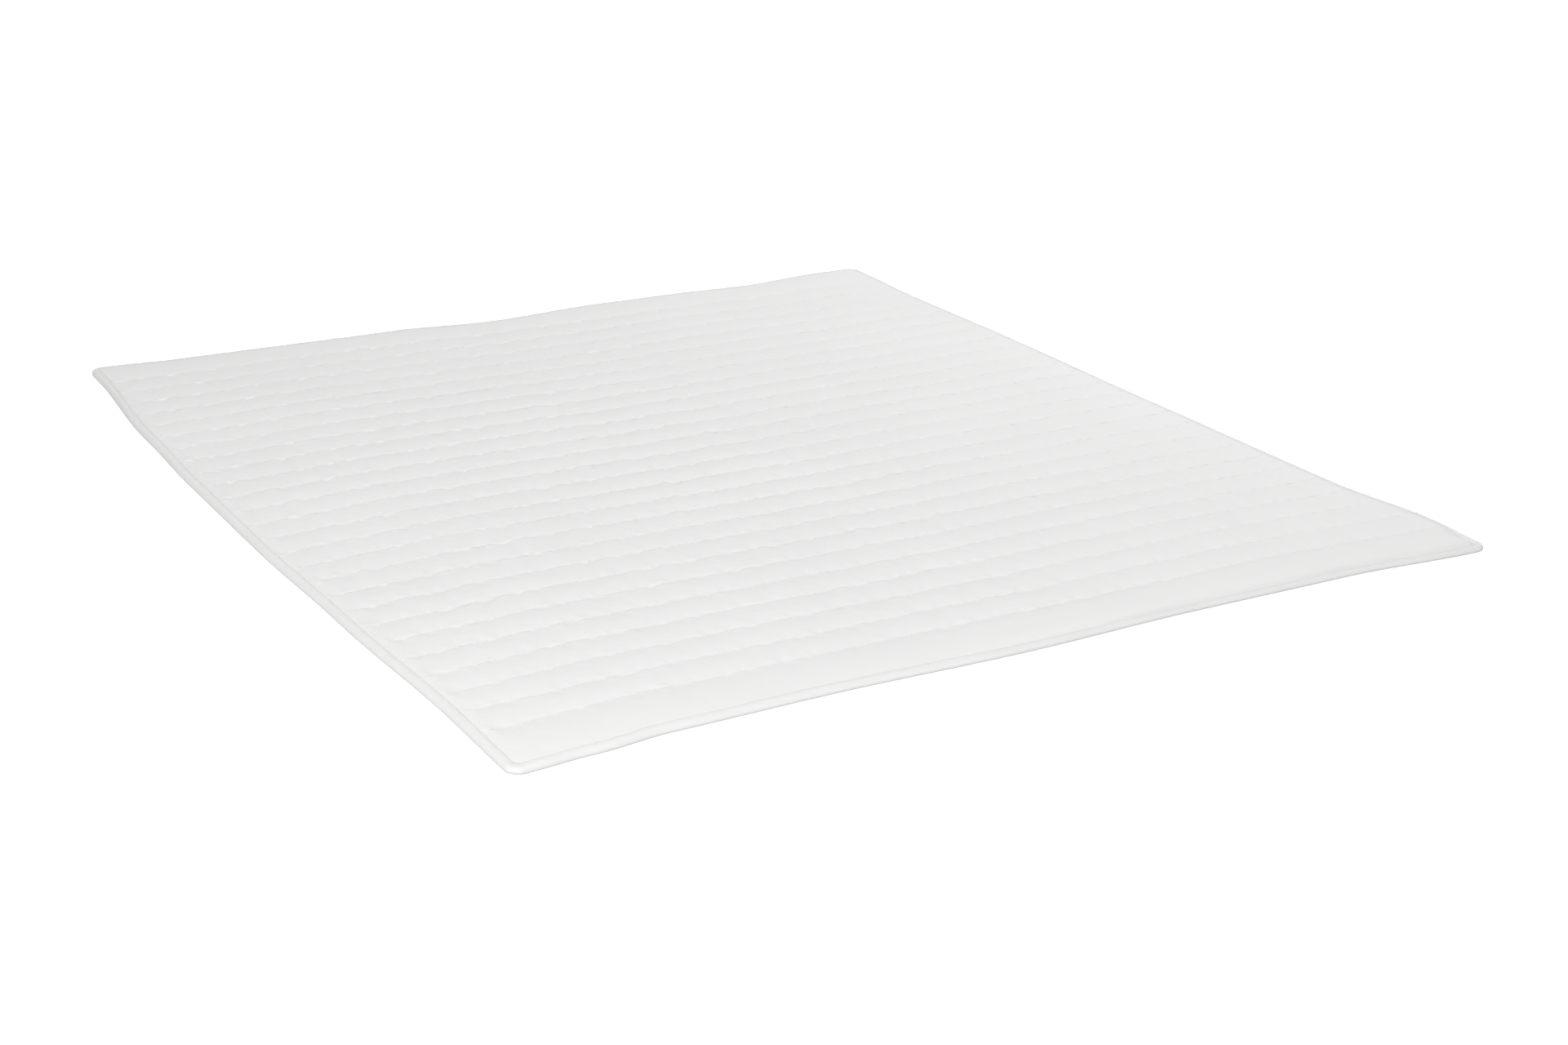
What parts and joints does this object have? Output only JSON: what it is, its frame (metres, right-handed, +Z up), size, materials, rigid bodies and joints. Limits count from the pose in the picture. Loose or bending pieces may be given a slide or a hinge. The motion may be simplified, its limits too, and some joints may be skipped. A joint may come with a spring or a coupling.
{
  "type": "quilted mattress pad",
  "caption": "Thin flat mattress pad for a double bed, quilted in straight channels from side to side, with a folded tape bound round its edge and rounded corners.",
  "frame": {"origin": "middle of the pad's box, on the surface that it lies on", "axes": "+X across the pad and along its seams, +Y along its length from the front edge to the back edge, +Z up out of its upper face"},
  "size_m": [1.823, 2.0416, 0.014],
  "materials": {
    "quilted_cotton": "matt white brushed cotton over soft wadding",
    "binding_tape": "matt white woven tape"
  },
  "bodies": {
    "root": {"quilted_panel": "quilted_cotton", "edge_binding": "binding_tape"}
  },
  "joints": []
}
